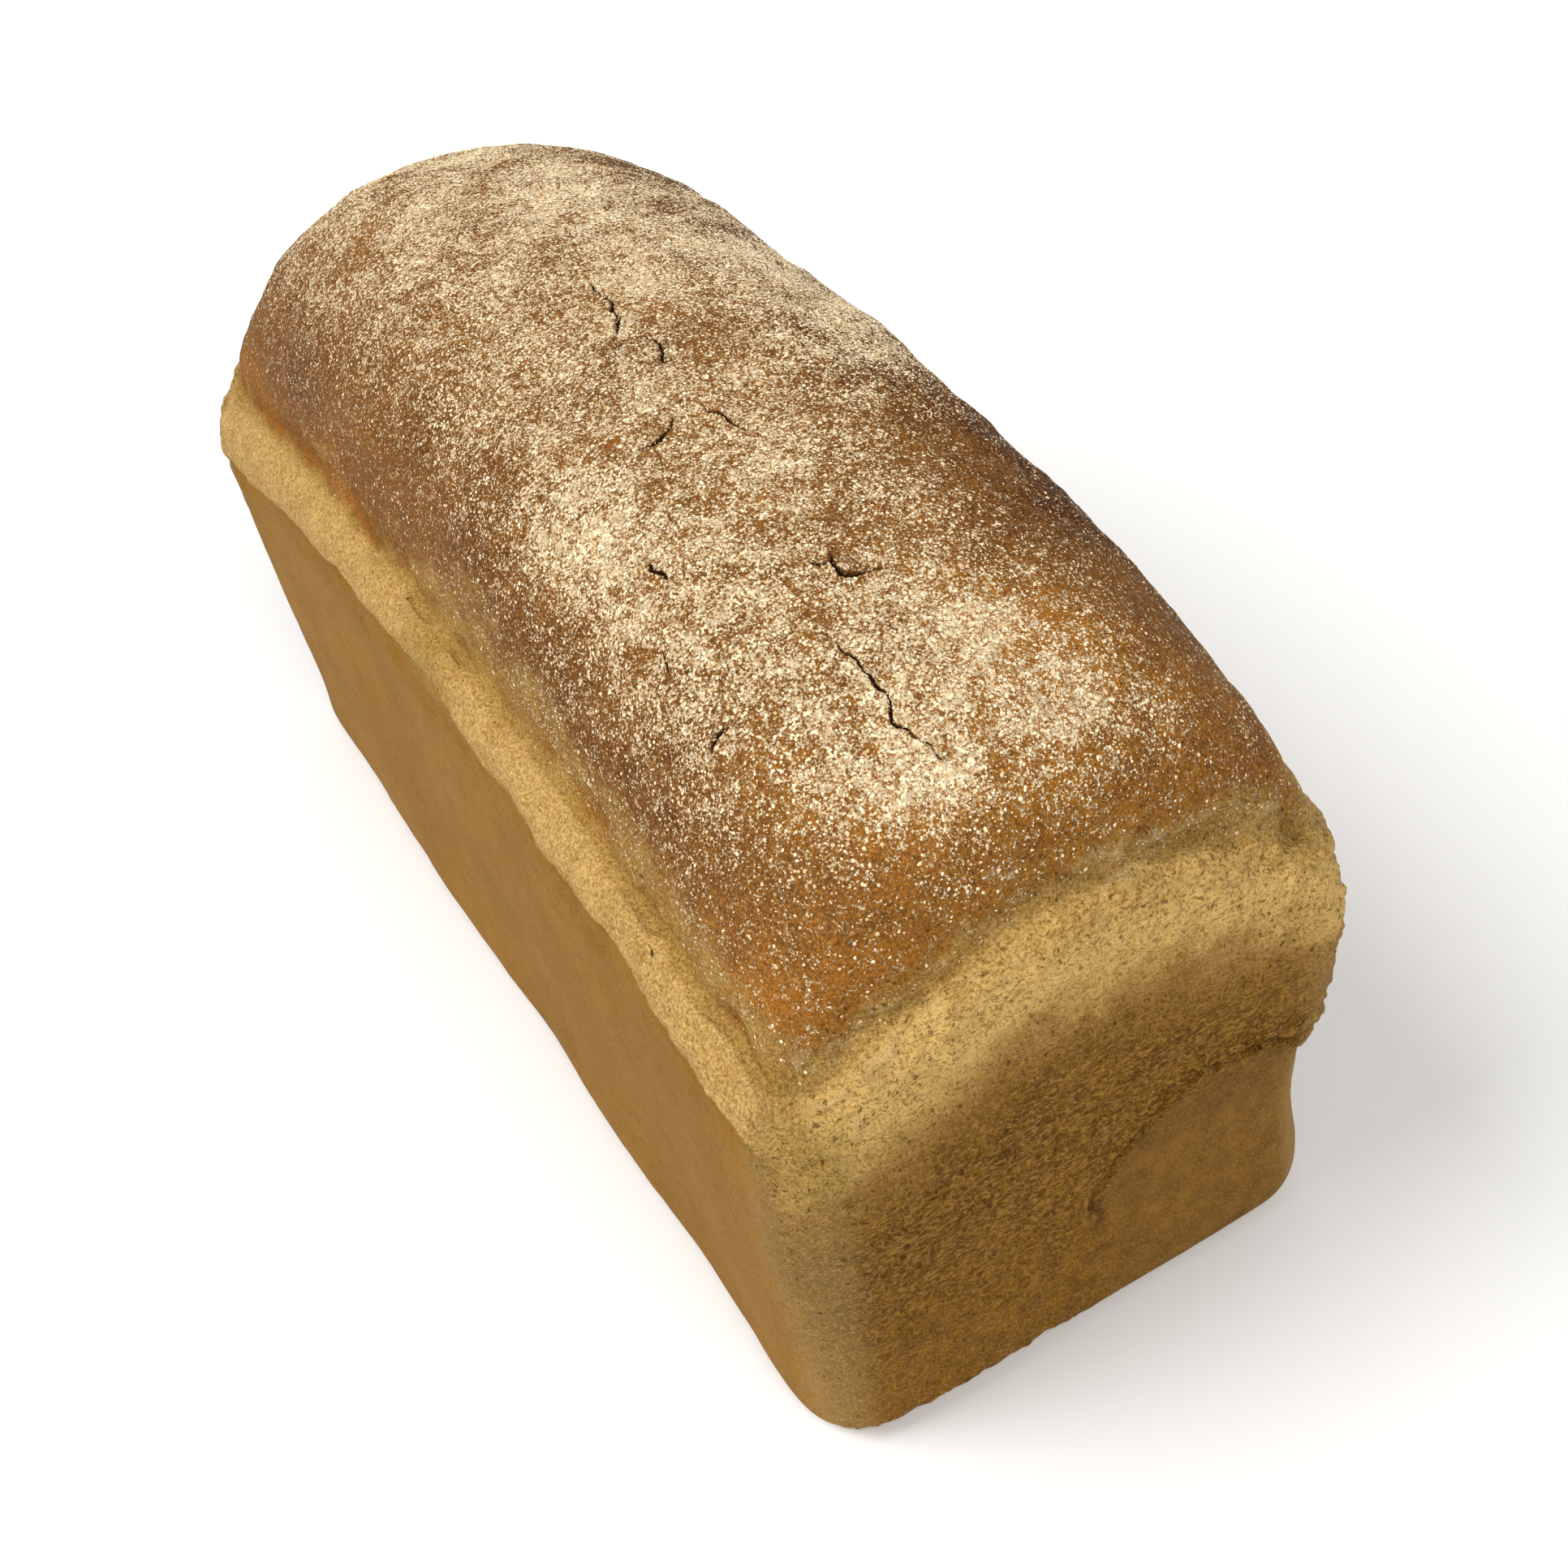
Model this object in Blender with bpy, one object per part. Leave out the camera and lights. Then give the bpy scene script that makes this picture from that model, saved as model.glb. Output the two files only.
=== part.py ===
"""Light rye loaf, baked in a tin and dusted with flour, as one solid.

Metres, +Z up. The origin lies under the middle of the loaf, on its flat base.
+X runs along the loaf to the end that shows, and -Y is the long side that shows.
The block has a flat base and nearly upright walls, as the tin left them. A soft
roll of dough stands proud at the top of the walls, with its crest as the rim, and
the crust domes up from a narrow ledge behind that crest.
"""

import math

import bmesh
import bpy
from mathutils import Vector, noise

# The block that the tin shaped.
BASE_LENGTH = 0.2402
BASE_WIDTH = 0.1018
BASE_EDGE_RADIUS = 0.0062
BASE_CORNER_RADIUS = 0.0134
TAPER_AT_ENDS = 0.0024
TAPER_AT_SIDES = 0.0008

# The roll of dough at the top of the walls. The rim is lowest at the four corners.
ROLL_PROUD_AT_ENDS = 0.0022
ROLL_PROUD_AT_SIDES = 0.0007
ROLL_DROP = 0.0131
ROLL_INSET = 0.0036
RIM_HEIGHT = 0.0871
RIM_RISE_AT_SIDES = 0.0131
RIM_RISE_AT_ENDS = 0.0181
RIM_CORNER_RADIUS = 0.0113

# The domed crust, which starts behind a ledge along the rim.
DOME_RISE = 0.0546
DOME_POWER_NEAR = 2.65
DOME_POWER_FAR = 3.00
DOME_POWER_ACROSS = 2.33
DOME_ROOT_ALONG = 0.50
DOME_ROOT_ACROSS = 0.49
LEDGE_SEEN = 0.0024
LEDGE_UNSEEN = 0.0007
LEDGE_DIP = 0.0012
LEDGE_DIP_REACH = 0.0028
RIM_SOFTENING = 0.5
RIM_BAND = 0.93

# The smooth panel low on the near end, where the dough met the tin. The dough above
# it hangs over a crease.
PANEL_CENTRE = (0.0290, 0.0200)
PANEL_REACH = (0.0275, 0.0340)
PANEL_RECESS = 0.0022
PANEL_EDGE = 0.10
PANEL_SLOPE = 0.45
PANEL_WRAP = 0.030
PANEL_FOOT = 0.030

# Unevenness of hand-shaped dough: height of the swells and the distance between them.
SWELL = 0.0008
SWELL_SPAN = 0.042
RIPPLE = 0.0003
RIPPLE_SPAN = 0.013
BASE_WAVE = 0.0009
BASE_WAVE_SPAN = 0.024

# Cells of the block that is shaped into the loaf, and how they crowd to its edges.
CELLS_LONG = 50
CELLS_WIDE = 26
ROWS_EDGE = 3
ROWS_WALL = 10
ROWS_ROLL = 4
CROWD_LONG = 0.60
CROWD_WIDE = 0.85

# Cracks in the crust, as (x, y) seen from above, with each crack's half width.
CRACK_SINK = 0.15
CRACK_SIDES = 1
CRACKS = {
    "crack_far": (0.0007, ((-0.0200, -0.0010), (-0.0070, -0.0020), (-0.0018, -0.0037),
                           (0.0039, -0.0076))),
    "crack_far_branch": (0.0006, ((0.0024, -0.0022), (0.0082, -0.0007),
                                  (0.0151, -0.0034))),
    "crack_middle_left": (0.0006, ((0.0297, -0.0173), (0.0306, -0.0124),
                                   (0.0267, -0.0081))),
    "crack_middle_right": (0.0006, ((0.0270, -0.0032), (0.0324, -0.0022),
                                    (0.0376, -0.0012))),
    "flap_crack": (0.0009, ((0.0672, -0.0050), (0.0700, -0.0060), (0.0721, -0.0056),
                            (0.0738, -0.0040), (0.0741, -0.0018), (0.0751, 0.0009))),
    "long_crack_upper": (0.0006, ((0.0806, -0.0130), (0.0854, -0.0124),
                                  (0.0891, -0.0115), (0.0930, -0.0117),
                                  (0.0972, -0.0127))),
    "long_crack_lower": (0.0006, ((0.0988, -0.0117), (0.1021, -0.0110),
                                  (0.1057, -0.0098))),
    "blister_crack": (0.0008, ((0.0818, -0.0350), (0.0818, -0.0327),
                               (0.0815, -0.0310))),
}

CRUST_COLOUR = (0.36, 0.16, 0.045, 1.0)
CRUST_ROUGHNESS = 0.72

HALF_LENGTH = BASE_LENGTH / 2
HALF_WIDTH = BASE_WIDTH / 2
RIM_HALF_LENGTH = HALF_LENGTH + TAPER_AT_ENDS + ROLL_PROUD_AT_ENDS - ROLL_INSET
RIM_HALF_WIDTH = HALF_WIDTH + TAPER_AT_SIDES + ROLL_PROUD_AT_SIDES - ROLL_INSET
ROWS = ROWS_EDGE + ROWS_WALL + ROWS_ROLL


def smooth_step(value):
    """Rise from 0 to 1 with level ends."""
    value = min(max(value, 0.0), 1.0)
    return value * value * (3.0 - 2.0 * value)


def crowd(unit, share):
    """Move a position between -1 and 1 towards the nearer end."""
    return (1.0 - share) * unit + share * math.sin(unit * math.pi / 2)


def round_corner(x, y, half_length, half_width, radius):
    """Fold the square corners of a plan outline into arcs."""
    over_x = (abs(x) - half_length + radius) / radius
    over_y = (abs(y) - half_width + radius) / radius
    if over_x <= 0.0 or over_y <= 0.0:
        return x, y
    arc_x = over_x * math.sqrt(1.0 - over_y * over_y / 2)
    arc_y = over_y * math.sqrt(1.0 - over_x * over_x / 2)
    x = math.copysign(half_length - radius + radius * arc_x, x)
    y = math.copysign(half_width - radius + radius * arc_y, y)
    return x, y


def rim_lift(x, y):
    """Height of the rim above its corners: more at the middle of each wall."""
    u = min(abs(x) / RIM_HALF_LENGTH, 1.0)
    v = min(abs(y) / RIM_HALF_WIDTH, 1.0)
    return RIM_RISE_AT_SIDES * (1.0 - u ** 2) * v ** 2 + RIM_RISE_AT_ENDS * (1.0 - v ** 2) * u ** 4


def swells(point):
    """Slow and quick unevenness at a point, in metres."""
    slow = noise.noise(point / SWELL_SPAN)
    quick = noise.noise(point / RIPPLE_SPAN + Vector((7.0, 3.0, 5.0)))
    return 2.0 * (SWELL * slow + RIPPLE * quick)


def inside_ledge(distance, half_span, ledge):
    """Position across the dome, 0 at the middle and 1 where the ledge begins."""
    return min(abs(distance) / (half_span - ledge), 1.0)


def ledge_dip(x, y):
    """Depth of the shallow trough behind the rim's crest, which fades at the corners."""
    to_end = (RIM_HALF_LENGTH - abs(x)) / LEDGE_DIP_REACH
    to_side = (RIM_HALF_WIDTH - abs(y)) / LEDGE_DIP_REACH
    near = min(to_end, to_side)
    clear_of_corner = smooth_step(max(to_end, to_side) * LEDGE_DIP_REACH / RIM_CORNER_RADIUS)
    return LEDGE_DIP * clear_of_corner * smooth_step(near) * (1.0 - smooth_step(near - 1.0))


def top_height(x, y):
    """Height of the crust above a plan position, before its corners are rounded."""
    u = inside_ledge(x, RIM_HALF_LENGTH, LEDGE_SEEN if x > 0 else LEDGE_UNSEEN)
    v = inside_ledge(y, RIM_HALF_WIDTH, LEDGE_SEEN if y < 0 else LEDGE_UNSEEN)
    along = (1.0 - u ** (DOME_POWER_NEAR if x > 0 else DOME_POWER_FAR)) ** DOME_ROOT_ALONG
    across = (1.0 - v ** DOME_POWER_ACROSS) ** DOME_ROOT_ACROSS
    return RIM_HEIGHT + DOME_RISE * along * across - ledge_dip(x, y)


def crust_point(a, b):
    """Place a point of the top face, whose cell position is a, b from -1 to 1."""
    x = RIM_HALF_LENGTH * a
    y = RIM_HALF_WIDTH * b
    z = top_height(x, y)
    x, y = round_corner(x, y, RIM_HALF_LENGTH, RIM_HALF_WIDTH, RIM_CORNER_RADIUS)
    return Vector((x, y, z + rim_lift(x, y)))


def wall_section(row):
    """Inset from the base outline, height, share of the roll and the corner radius."""
    if row <= ROWS_EDGE:
        turn = math.radians(90.0) * row / ROWS_EDGE
        inset = BASE_EDGE_RADIUS * (1.0 - math.sin(turn))
        height = BASE_EDGE_RADIUS * (1.0 - math.cos(turn))
        return inset, height, 0.0, BASE_CORNER_RADIUS - inset
    top_of_wall = RIM_HEIGHT - ROLL_DROP
    if row <= ROWS_EDGE + ROWS_WALL:
        share = (row - ROWS_EDGE) / ROWS_WALL
        height = BASE_EDGE_RADIUS + (top_of_wall - BASE_EDGE_RADIUS) * share
        radius = BASE_CORNER_RADIUS + (RIM_CORNER_RADIUS - BASE_CORNER_RADIUS) * share ** 2
        return 0.0, height, share, radius
    turn = math.radians(90.0) * (row - ROWS_EDGE - ROWS_WALL) / ROWS_ROLL
    inset = ROLL_INSET * (1.0 - math.cos(turn))
    height = top_of_wall + ROLL_DROP * math.sin(turn)
    return inset, height, 1.0, RIM_CORNER_RADIUS


def wall_point(a, b, row):
    """Place a point of the walls or the base edge."""
    inset, height, share, radius = wall_section(row)
    half_length = HALF_LENGTH + TAPER_AT_ENDS * share + ROLL_PROUD_AT_ENDS * share ** 2 - inset
    half_width = HALF_WIDTH + TAPER_AT_SIDES * share + ROLL_PROUD_AT_SIDES * share ** 2 - inset
    x, y = round_corner(half_length * a, half_width * b, half_length, half_width, radius)
    return Vector((x, y, height + rim_lift(x, y) * share ** 2))


def panel_share(point):
    """How far a point lies inside the smooth panel of the near end: 0 out, 1 in."""
    round_the_corner = max(HALF_LENGTH - BASE_CORNER_RADIUS - point.x, 0.0)
    if point.y < 0.0 and round_the_corner > 0.0:
        return 0.0
    along = point.y + round_the_corner
    drop = PANEL_SLOPE * max(along - PANEL_CENTRE[0], 0.0)
    reach_side = PANEL_REACH[0] if along < PANEL_CENTRE[0] else PANEL_REACH[0] + PANEL_WRAP
    sideways = abs(along - PANEL_CENTRE[0]) / reach_side
    upwards = max(point.z + drop - PANEL_CENTRE[1], 0.0) / PANEL_REACH[1]
    reach = (sideways ** 4 + upwards ** 4) ** 0.25
    return smooth_step(point.z / PANEL_FOOT) * (1.0 - smooth_step((reach - 1.0) / PANEL_EDGE + 0.5))


def add_block():
    """A block of unit cells, with vertices on its six faces only."""
    mesh = bmesh.new()
    bmesh.ops.create_cube(mesh, size=1.0)
    size = Vector((CELLS_LONG, CELLS_WIDE, ROWS))
    bmesh.ops.scale(mesh, vec=size, verts=mesh.verts)
    for axis, cells in enumerate((CELLS_LONG, CELLS_WIDE, ROWS)):
        normal = Vector((0.0, 0.0, 0.0))
        normal[axis] = 1.0
        for cell in range(1, cells):
            geometry = mesh.verts[:] + mesh.edges[:] + mesh.faces[:]
            plane = normal * (cell - cells / 2)
            bmesh.ops.bisect_plane(mesh, geom=geometry, dist=1e-5, plane_co=plane, plane_no=normal)
    return mesh


def shape_loaf(mesh):
    """Move the block's vertices to the loaf's form."""
    rim = []
    for vert in mesh.verts:
        a = crowd(2.0 * vert.co.x / CELLS_LONG, CROWD_LONG)
        b = crowd(2.0 * vert.co.y / CELLS_WIDE, CROWD_WIDE)
        row = round(vert.co.z + ROWS / 2)
        vert.co = crust_point(a, b) if row == ROWS else wall_point(a, b, row)
        if row >= ROWS - 1 and max(abs(a), abs(b)) > RIM_BAND:
            rim.append(vert)
    bmesh.ops.smooth_vert(mesh, verts=rim, factor=RIM_SOFTENING, use_axis_x=True, use_axis_y=True,
                          use_axis_z=True)
    mesh.normal_update()
    moves = []
    for vert in mesh.verts:
        above_base = smooth_step((vert.co.z - BASE_EDGE_RADIUS / 4) / BASE_EDGE_RADIUS)
        swell = swells(vert.co) * above_base
        recess = PANEL_RECESS * panel_share(vert.co) * above_base if vert.co.x > 0 else 0.0
        low = 1.0 - smooth_step(vert.co.z / (3.0 * BASE_EDGE_RADIUS))
        wave = BASE_WAVE * low * noise.noise(vert.co / BASE_WAVE_SPAN)
        outwards = Vector((vert.normal.x, vert.normal.y, 0.0))
        moves.append(vert.normal * (swell - recess) + outwards * wave)
    for vert, move in zip(mesh.verts, moves):
        vert.co += move


def centre_over_origin(mesh):
    """Put the middle of the loaf's plan outline over the origin."""
    for axis in (0, 1):
        places = [vert.co[axis] for vert in mesh.verts]
        middle = (min(places) + max(places)) / 2
        for vert in mesh.verts:
            vert.co[axis] -= middle


def merge_flat_base(mesh):
    """Join the cells of the flat base into one face."""
    base = [face for face in mesh.faces if max(vert.co.z for vert in face.verts) < 1e-6]
    bmesh.ops.dissolve_faces(mesh, faces=base, use_verts=True)
    mesh.normal_update()


def add_loaf(collection, material):
    mesh = add_block()
    shape_loaf(mesh)
    centre_over_origin(mesh)
    merge_flat_base(mesh)
    bmesh.ops.triangulate(mesh, faces=mesh.faces[:])
    data = bpy.data.meshes.new("light_rye_loaf")
    mesh.to_mesh(data)
    mesh.free()
    data.materials.append(material)
    data.shade_smooth()
    loaf = bpy.data.objects.new("light_rye_loaf", data)
    collection.objects.link(loaf)
    return loaf


def add_crack(name, half_width, route, collection):
    """A tapered tube along the crust, which a Boolean sinks into it as a groove."""
    curve = bpy.data.curves.new(name, "CURVE")
    curve.dimensions = "3D"
    curve.bevel_depth = half_width
    curve.bevel_resolution = CRACK_SIDES
    curve.use_fill_caps = True
    spline = curve.splines.new("POLY")
    spline.points.add(len(route) - 1)
    last = len(route) - 1
    for index, (x, y) in enumerate(route):
        surface = crust_surface(x, y)
        spline.points[index].co = (x, y, surface + half_width * CRACK_SINK, 1.0)
        spline.points[index].radius = 0.35 + 0.65 * math.sin(math.pi * index / last)
    tube = bpy.data.objects.new(name + "_curve", curve)
    collection.objects.link(tube)
    evaluated = tube.evaluated_get(bpy.context.evaluated_depsgraph_get())
    data = bpy.data.meshes.new_from_object(evaluated)
    bpy.data.objects.remove(tube)
    mesh = bmesh.new()
    mesh.from_mesh(data)
    bmesh.ops.remove_doubles(mesh, verts=mesh.verts, dist=1e-6)
    bmesh.ops.recalc_face_normals(mesh, faces=mesh.faces)
    mesh.to_mesh(data)
    mesh.free()
    cutter = bpy.data.objects.new(name, data)
    cutter.hide_render = True
    cutter.display_type = "WIRE"
    collection.objects.link(cutter)


def crust_surface(x, y):
    """Height of the finished crust at a plan position away from the corners."""
    point = Vector((x, y, top_height(x, y) + rim_lift(x, y)))
    return point.z + swells(point)


def add_crust_material():
    material = bpy.data.materials.new("Baked rye crust")
    material.use_nodes = True
    shader = material.node_tree.nodes["Principled BSDF"]
    shader.inputs["Base Color"].default_value = CRUST_COLOUR
    shader.inputs["Roughness"].default_value = CRUST_ROUGHNESS
    shader.inputs["Metallic"].default_value = 0.0
    return material


def clear_scene():
    for item in list(bpy.data.objects):
        bpy.data.objects.remove(item)


def add_collection(name):
    collection = bpy.data.collections.new(name)
    bpy.context.scene.collection.children.link(collection)
    return collection


def main():
    clear_scene()
    parts = add_collection("light_rye_loaf")
    cutters = add_collection("crack_cutters")
    loaf = add_loaf(parts, add_crust_material())
    for name, (half_width, route) in CRACKS.items():
        add_crack(name, half_width, route, cutters)
    cracks = loaf.modifiers.new("Cracks", "BOOLEAN")
    cracks.operation = "DIFFERENCE"
    cracks.solver = "EXACT"
    cracks.operand_type = "COLLECTION"
    cracks.collection = cutters


main()
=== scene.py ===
"""Looks of the light rye loaf: its baked crust, its rolled rim and the flour on it.

Metres, +Z up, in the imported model's frame. The loaf lies along X, and its near end
is at +X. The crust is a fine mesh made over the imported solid: the solid's form is
smoothed and remeshed, then the folds, cracks and pores are worked into it.
"""

import math
from collections import namedtuple

import bmesh
import bpy
import numpy as np
from mathutils import Matrix, Vector, noise


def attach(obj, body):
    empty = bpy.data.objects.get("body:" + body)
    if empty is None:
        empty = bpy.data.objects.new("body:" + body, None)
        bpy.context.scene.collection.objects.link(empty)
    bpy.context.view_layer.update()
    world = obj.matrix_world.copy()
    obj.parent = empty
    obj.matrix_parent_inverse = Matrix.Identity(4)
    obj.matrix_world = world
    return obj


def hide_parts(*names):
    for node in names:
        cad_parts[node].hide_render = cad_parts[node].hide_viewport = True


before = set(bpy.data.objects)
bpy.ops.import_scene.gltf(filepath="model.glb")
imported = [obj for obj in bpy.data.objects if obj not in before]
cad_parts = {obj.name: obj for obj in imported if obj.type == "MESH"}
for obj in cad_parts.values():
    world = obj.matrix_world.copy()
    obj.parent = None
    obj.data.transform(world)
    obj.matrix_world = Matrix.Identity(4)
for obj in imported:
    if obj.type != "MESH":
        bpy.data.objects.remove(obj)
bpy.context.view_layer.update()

LOAF_NODE = "light_rye_loaf"
MM = 0.001

# The rim's crest, as the solid has it: lowest at the corners, highest mid-wall.
RIM_HALF_LENGTH = 121.1 * MM
RIM_HALF_WIDTH = 48.8 * MM
RIM_HEIGHT = 87.1 * MM
RIM_RISE_AT_SIDES = 13.1 * MM
RIM_RISE_AT_ENDS = 18.1 * MM
RIM_CORNER_RADIUS = 11.3 * MM

# Mesh of the crust: its cells, how near a crack the skin leaves the solid's form, how
# near the cracks and the crease the cells are finer, the smoothing steps, and how high
# the flat base reaches.
VOXEL = 2.45 * MM
CRACK_BRIDGE = 2.4 * MM
CRACK_CELL_REACHES = (2.0 * MM, 1.4 * MM, 0.9 * MM)
CREASE_CELL_REACH = 2.6 * MM
SMOOTH_STEPS = 2
BASE_FLAT = 0.25 * MM

# How softly the smooth panel's edge blends, as a share of its reach.
PANEL_EDGE_IN_MESH = 0.12
PANEL_EDGE_IN_COLOUR = 0.45
PANEL_EDGE_IN_FIBRES = 0.55

# What the loaf's mesh keeps at each vertex for its material.
STORED = ("brown", "deep", "tin", "at_end", "panel", "rough", "pale_edge", "pale_lit_roll_top",
          "olive", "ridge", "crease", "groove", "flour")

# The photograph's camera, found from the loaf's outline and rim.
CAMERA_PLACE = (0.3081, -0.1219, 0.3401)
CAMERA_YAW = 2.7275
CAMERA_PITCH = -0.7430
CAMERA_ROLL = -0.1586
SENSOR_WIDTH = 36.0
FOCAL_LENGTH = 52.57
LENS_SHIFT = (-0.0047, -0.0045)

# Soft studio: each lamp's place, width and power, all aimed at the loaf.
LAMPS = (
    ("key_light", (-0.7, -2.4, 3.6), 2.6, 132.0),
    ("front_light", (2.6, -0.5, 3.2), 2.2, 84.0),
)
LAMP_TARGET = (0.0, 0.0, 0.08)
FLOOR_WIDTH = 14.0
SKY_STRENGTH = 0.38
RANDOM_SEED = 7


def linear(hex_colour):
    """Turn an sRGB hex colour into a linear one with alpha 1."""
    channels = [int(hex_colour[place:place + 2], 16) / 255 for place in (1, 3, 5)]
    curve = [c / 12.92 if c <= 0.04045 else ((c + 0.055) / 1.055) ** 2.4 for c in channels]
    return (*curve, 1.0)


def smooth_step(value):
    """Rise from 0 to 1 with level ends, for numbers or arrays."""
    value = np.clip(value, 0.0, 1.0)
    return value * value * (3.0 - 2.0 * value)


def noise_at(points, span, shift=0.0, stretch=(1.0, 1.0, 1.0)):
    """Smooth noise from about -1 to 1, with swells about span apart."""
    scaled = points / (np.array(stretch) * span) + shift
    return np.array([noise.noise(Vector(place)) for place in scaled]) * 2.0


def mix(first, second, share):
    """The first where share is 0, the second where it is 1."""
    return (1.0 - share) * first + share * second


def rim_crest(points):
    """Height of the rim's crest abreast of each point."""
    u = np.clip(np.abs(points[:, 0]) / RIM_HALF_LENGTH, 0.0, 1.0)
    v = np.clip(np.abs(points[:, 1]) / RIM_HALF_WIDTH, 0.0, 1.0)
    at_sides = RIM_RISE_AT_SIDES * (1.0 - u ** 2) * v ** 2
    at_ends = RIM_RISE_AT_ENDS * (1.0 - v ** 2) * u ** 4
    return RIM_HEIGHT + at_sides + at_ends


def rise_over_rim(points):
    """How far each point lies above the crest: negative on the walls."""
    return points[:, 2] - rim_crest(points)


def inward_of_rim(points):
    """Plan distance from the crest towards the middle of the loaf, negative outside."""
    halves = np.array([RIM_HALF_LENGTH, RIM_HALF_WIDTH]) - RIM_CORNER_RADIUS
    beyond = np.abs(points[:, :2]) - halves
    outside = np.linalg.norm(np.clip(beyond, 0.0, None), axis=1)
    inside = np.clip(beyond.max(axis=1), None, 0.0)
    return RIM_CORNER_RADIUS - outside - inside


def belt_width(points):
    """How far the rolled dough reaches down the long sides, wider towards the far end."""
    towards_far_end = smooth_step((-30.0 * MM - points[:, 0]) / (70.0 * MM))
    return (BELT_WIDTH + BELT_WIDENING * towards_far_end) * MM


# Folds and cracks of the crust. height is in mm and sinks the surface where it is
# negative; reach is the half width in mm; lip is the raised edge beside a groove.
Fold = namedtuple("Fold", "height reach lip route")

CRACKS = (
    Fold(-1.0, 0.46, 0.30, ((-21, -1, 141), (-14, -1, 141), (-8, -1.5, 141), (-3, -3, 141),
                            (4, -7.4, 141.5))),
    Fold(-0.9, 0.42, 0.25, ((2, -2, 142), (8, -0.7, 142), (15, -3.2, 141.5))),
    Fold(-0.9, 0.42, 0.25, ((29, -17, 140), (30, -14.5, 140), (30, -12.3, 140.4),
                           (26.4, -7.9, 141))),
    Fold(-1.0, 0.44, 0.30, ((26.6, -3.2, 141), (31.5, -1.9, 140.4), (37, -0.9, 140))),
    Fold(-0.8, 0.36, 0.20, ((49, -26.2, 135), (52, -26.2, 134.5), (54.5, -24.7, 134.8))),
    Fold(-1.4, 0.50, 0.50, ((66.7, -3.5, 136.7), (69.4, -4.7, 136.2), (71.6, -4.8, 135.8),
                           (72.8, -4.0, 135.5), (73.2, -2.6, 135.5), (73.6, 0.2, 135.5),
                           (74.5, 1.6, 135.3))),
    Fold(-0.5, 0.28, 0.10, ((66.9, -8.5, 136.2), (68.5, -6.5, 136.3), (69.4, -4.7, 136.2))),
    Fold(-0.8, 0.31, 0.20, ((80, -12.5, 133.5), (82.2, -11.9, 133), (86.5, -11.7, 132),
                           (88.6, -11.1, 131.6), (92.4, -11.3, 130.3), (95.5, -12.1, 129),
                           (96.5, -12.4, 128.8), (98.1, -11.1, 128.5), (101.2, -10.7, 127.2),
                           (103, -9.4, 126.5), (105.5, -9.2, 125.5))),
    Fold(-1.2, 0.55, 0.50, ((80.6, -34.6, 123.8), (81.1, -32.6, 125.6), (80.9, -30.5, 127))),
    Fold(-0.5, 0.28, 0.12, ((62.9, -31.4, 129.5), (67.3, -32.6, 127.7))),
    Fold(-0.5, 0.28, 0.10, ((73.6, -45.0, 100.0), (71.8, -46.6, 98.6))),
    Fold(-0.5, 0.28, 0.10, ((83.9, -50.0, 92.9), (82.6, -49.4, 94.2))),
)

# The crease over the smooth panel of the near end, from the right corner to where it
# runs out low in the middle, and the dough that hangs over it.
CREASE = (
    Fold(-2.0, 1.8, 1.0, ((113, 50.5, 47), (120, 43, 48.6), (121, 38.4, 51), (121, 34.3, 53),
                          (120.7, 27.8, 54), (120.2, 20, 53.3), (120.6, 14, 51.5),
                          (119.3, 9.3, 44.5))),
    Fold(-1.3, 1.8, 0.8, ((120.2, 20, 53.3), (120.6, 14, 51.5), (119.3, 9.3, 44.5), (119.3, 6.7, 41.5),
                          (119.9, 3.8, 38.5), (120.4, 1.7, 34))),
    Fold(-0.6, 2.0, 0.2, ((119.9, 3.8, 38.5), (120.4, 1.7, 34), (119.6, 2.6, 29), (119, 4.8, 23))),
)

# Soft wrinkles of the rolled rim and the near end's shoulders.
WRINKLES = (
    Fold(0.8, 1.5, 0.0, ((118.6, -44.7, 89.9), (120.2, -43.6, 90.1), (121.1, -42.1, 91.1),
                         (121.4, -40.4, 92.3), (121.3, -38.6, 93.7))),
    Fold(0.6, 1.6, 0.0, ((121.3, -38.6, 93.7), (121.9, -34.2, 95.8), (122.4, -29.8, 97.5))),
    Fold(0.6, 1.2, 0.0, ((117.7, -32.7, 102.1), (118.3, -30.6, 101.6), (118.8, -28.2, 100.7))),
    Fold(0.5, 1.1, 0.0, ((123.8, -40.9, 88.9), (124.2, -39.7, 88.1), (124.7, -38.4, 86.8))),
    Fold(0.6, 1.2, 0.0, ((115.1, -43.3, 95.1), (116.9, -40.1, 97.7), (118.6, -37.4, 96.1))),
    Fold(0.7, 1.8, 0.0, ((117.9, -0.7, 110.6), (118.1, 4.3, 109.4), (118.2, 9.4, 108.5),
                         (118.2, 14.3, 107.7), (118.0, 18.3, 106.8))),
    Fold(0.9, 1.6, 0.0, ((117.9, 17.5, 107), (117.7, 23.6, 106.2), (117.3, 30.4, 104.9))),
    Fold(-0.8, 2.2, 0.0, ((119.5, 18.0, 104.5), (119.2, 24.0, 103.6), (118.6, 29.0, 102.6))),
    Fold(1.0, 1.8, 0.0, ((118.2, 34.5, 99.4), (117.8, 37.2, 98.8), (117.1, 40.1, 98.5))),
    Fold(-1.1, 4.0, 0.0, ((120.6, 25.3, 100.1), (121.5, 28.2, 98.6), (122.5, 30.6, 96.7),
                          (122.7, 33.4, 94.7), (122.8, 38.8, 91.2))),
    Fold(-1.6, 5.0, 0.0, ((114.5, 44.5, 100.0), (119.0, 42.5, 95.0), (121.5, 41.5, 91.0))),
    Fold(0.5, 1.6, 0.0, ((120.7, 3.4, 105.2), (119.7, 8.9, 104.6), (119.1, 15.4, 103.8))),
)

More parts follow.
